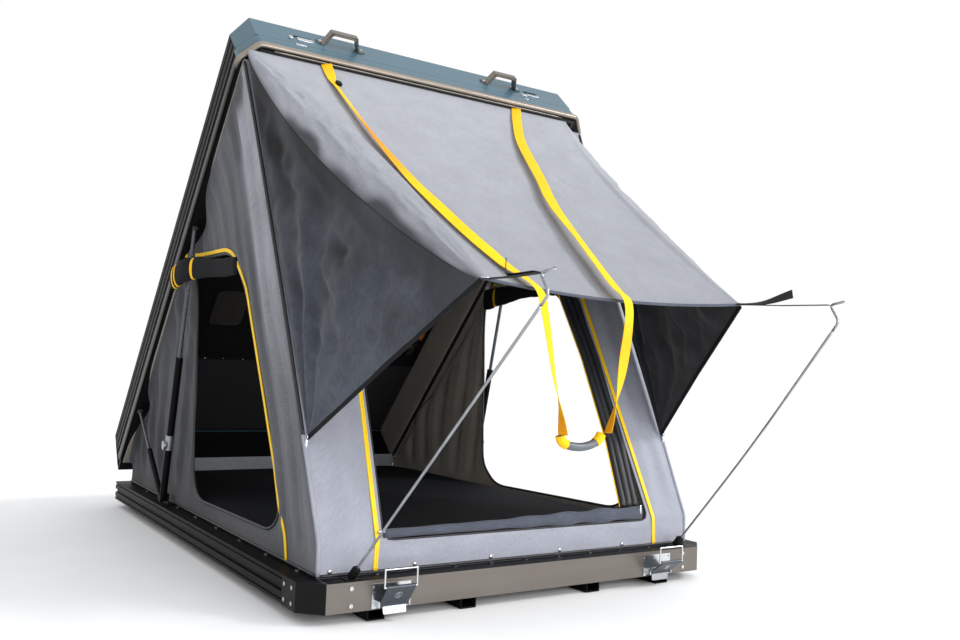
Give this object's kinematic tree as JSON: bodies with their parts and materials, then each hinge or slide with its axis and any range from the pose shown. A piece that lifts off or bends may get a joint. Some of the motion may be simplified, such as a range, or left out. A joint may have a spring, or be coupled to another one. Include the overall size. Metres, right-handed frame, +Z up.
{
  "type": "roof top tent",
  "caption": "Hard shell roof top tent standing open: flat base, wedge lid on a rear hinge, cloth walls with open doors, and a front awning held out by rods.",
  "frame": {"origin": "middle of the mounting bolt pattern, on the underside of the mounting rails", "axes": "+Z up, -Y towards the entrance and awning, +Y towards the lid's hinge, +X to the right seen from the entrance"},
  "size_m": [1.414, 2.8978, 1.7892],
  "materials": {
    "black_metal": "satin black powder coat",
    "gunmetal": "satin gun metal coat",
    "lid_paint": "satin blue grey paint",
    "lid_frame": "satin grey coat",
    "handle_metal": "satin gun metal coat",
    "bare_aluminium": "mill finish",
    "steel": "brushed",
    "dark_steel": "dark satin",
    "floor_board": "sealed board",
    "rubber_seal": "matt",
    "wall_canvas": "woven canvas",
    "front_canvas": "woven canvas",
    "awning_canvas": "woven canvas",
    "dark_canvas": "woven canvas",
    "mattress_cover": "knitted cover",
    "yellow_webbing": "woven webbing",
    "black_webbing": "woven webbing",
    "grip_tube": "matt foam tube"
  },
  "bodies": {
    "base": {"mounting_rails": "black_metal", "cross_members": "bare_aluminium", "floor_panel": "floor_board", "front_beam": "gunmetal", "rear_beam": "black_metal", "side_rail_left": "black_metal", "side_rail_right": "black_metal", "corner_blocks": "black_metal", "upstand": "bare_aluminium", "frame_bolts": "steel", "press_studs": "steel", "mattress": "mattress_cover", "hinge_base_leaves": "black_metal", "hinge_pins": "steel", "strut_base_brackets": "black_metal", "latch_plate_left": "steel", "latch_plate_right": "steel", "rod_sockets": "black_metal", "side_wall_left": "wall_canvas", "side_wall_right": "wall_canvas", "front_wall": "front_canvas", "rear_wall": "wall_canvas", "door_roll_left": "dark_canvas", "door_roll_right": "dark_canvas", "awning": "awning_canvas", "awning_wings": "dark_canvas", "corner_straps": "black_webbing", "pull_handle": "grip_tube", "pull_strap": "yellow_webbing"},
    "lid": {"lid_roof": "lid_paint", "lid_front_panel": "lid_paint", "lid_rear_panel": "black_metal", "lid_side_rail_left": "black_metal", "lid_side_rail_right": "black_metal", "lid_frame_front": "lid_frame", "lid_frame_left": "lid_frame", "lid_frame_right": "lid_frame", "lid_seal": "rubber_seal", "lid_lining": "dark_canvas", "lid_bolts": "steel", "handle_left": "handle_metal", "handle_right": "handle_metal", "hinge_lid_leaves": "black_metal", "strut_lid_brackets": "black_metal"},
    "strut_left": {"strut_tube_left": "black_metal", "strut_collar_left": "bare_aluminium"},
    "strut_left_rod": {"strut_rod_left": "dark_steel"},
    "short_strut_left": {"short_cylinder_left": "black_metal"},
    "short_strut_left_rod": {"short_rod_left": "steel"},
    "lever_left": {"latch_lever_left": "dark_steel"},
    "bail_left": {"latch_bail_left": "steel"},
    "rod_left": {"awning_rod_left": "steel"},
    "strut_right": {"strut_tube_right": "black_metal", "strut_collar_right": "bare_aluminium"},
    "strut_right_rod": {"strut_rod_right": "dark_steel"},
    "short_strut_right": {"short_cylinder_right": "black_metal"},
    "short_strut_right_rod": {"short_rod_right": "steel"},
    "lever_right": {"latch_lever_right": "dark_steel"},
    "bail_right": {"latch_bail_right": "steel"},
    "rod_right": {"awning_rod_right": "steel"}
  },
  "joints": [
    {"name": "lid_hinge", "type": "hinge", "parent": "base", "child": "lid", "pos_m": [0, 1.067, 0.15], "axis": [1, 0, 0], "range_deg": [0, 46], "deforming": ["side_wall_left", "side_wall_right", "front_wall", "rear_wall", "door_roll_left", "door_roll_right", "awning", "awning_wings", "pull_strap", "pull_handle"]},
    {"name": "strut_left_swing", "type": "hinge", "parent": "base", "child": "strut_left", "pos_m": [-0.684, 0.345, 0.128], "axis": [1, 0, 0], "range_deg": [0, 76.16]},
    {"name": "strut_left_slide", "type": "slide", "parent": "strut_left", "child": "strut_left_rod", "axis": [0, -0.2288, 0.9735], "range_m": [-0.38002, 0]},
    {"name": "short_strut_left_swing", "type": "hinge", "parent": "base", "child": "short_strut_left", "pos_m": [-0.684, 0.375, 0.134], "axis": [1, 0, 0], "range_deg": [-35.75, 0]},
    {"name": "short_strut_left_slide", "type": "slide", "parent": "short_strut_left", "child": "short_strut_left_rod", "axis": [0, 0.8086, 0.5884], "range_m": [-0.2082, 0]},
    {"name": "lever_left_swing", "type": "hinge", "parent": "base", "child": "lever_left", "pos_m": [-0.465, -1.089, 0.046], "axis": [1, 0, 0], "range_deg": [-36, 32]},
    {"name": "bail_left_swing", "type": "hinge", "parent": "lever_left", "child": "bail_left", "pos_m": [-0.465, -1.12717, 0.09486], "axis": [1, 0, 0], "range_deg": [-20, 40]},
    {"name": "rod_left_pull", "type": "slide", "parent": "base", "child": "rod_left", "axis": [0.101, -0.6852, 0.7213], "range_m": [0, 0.06], "deforming": ["corner_straps"]},
    {"name": "strut_right_swing", "type": "hinge", "parent": "base", "child": "strut_right", "pos_m": [0.684, 0.345, 0.128], "axis": [1, 0, 0], "range_deg": [0, 76.16]},
    {"name": "strut_right_slide", "type": "slide", "parent": "strut_right", "child": "strut_right_rod", "axis": [0, -0.2288, 0.9735], "range_m": [-0.38002, 0]},
    {"name": "short_strut_right_swing", "type": "hinge", "parent": "base", "child": "short_strut_right", "pos_m": [0.684, 0.375, 0.134], "axis": [1, 0, 0], "range_deg": [-35.75, 0]},
    {"name": "short_strut_right_slide", "type": "slide", "parent": "short_strut_right", "child": "short_strut_right_rod", "axis": [0, 0.8086, 0.5884], "range_m": [-0.2082, 0]},
    {"name": "lever_right_swing", "type": "hinge", "parent": "base", "child": "lever_right", "pos_m": [0.465, -1.089, 0.046], "axis": [1, 0, 0], "range_deg": [-52, 16]},
    {"name": "bail_right_swing", "type": "hinge", "parent": "lever_right", "child": "bail_right", "pos_m": [0.465, -1.13916, 0.08244], "axis": [1, 0, 0], "range_deg": [-20, 40]},
    {"name": "rod_right_pull", "type": "slide", "parent": "base", "child": "rod_right", "axis": [-0.101, -0.6852, 0.7213], "range_m": [0, 0.06], "deforming": ["corner_straps"]}
  ],
  "couplings": [
    {"joint": "strut_left_swing", "follows": "lid_hinge", "ratio": 1.6534},
    {"joint": "strut_left_slide", "follows": "lid_hinge", "m_per_rad": -0.47271},
    {"joint": "short_strut_left_swing", "follows": "lid_hinge", "ratio": -0.77496},
    {"joint": "short_strut_left_slide", "follows": "lid_hinge", "m_per_rad": -0.25871},
    {"joint": "strut_right_swing", "follows": "lid_hinge", "ratio": 1.6534},
    {"joint": "strut_right_slide", "follows": "lid_hinge", "m_per_rad": -0.47271},
    {"joint": "short_strut_right_swing", "follows": "lid_hinge", "ratio": -0.77496},
    {"joint": "short_strut_right_slide", "follows": "lid_hinge", "m_per_rad": -0.25871}
  ]
}
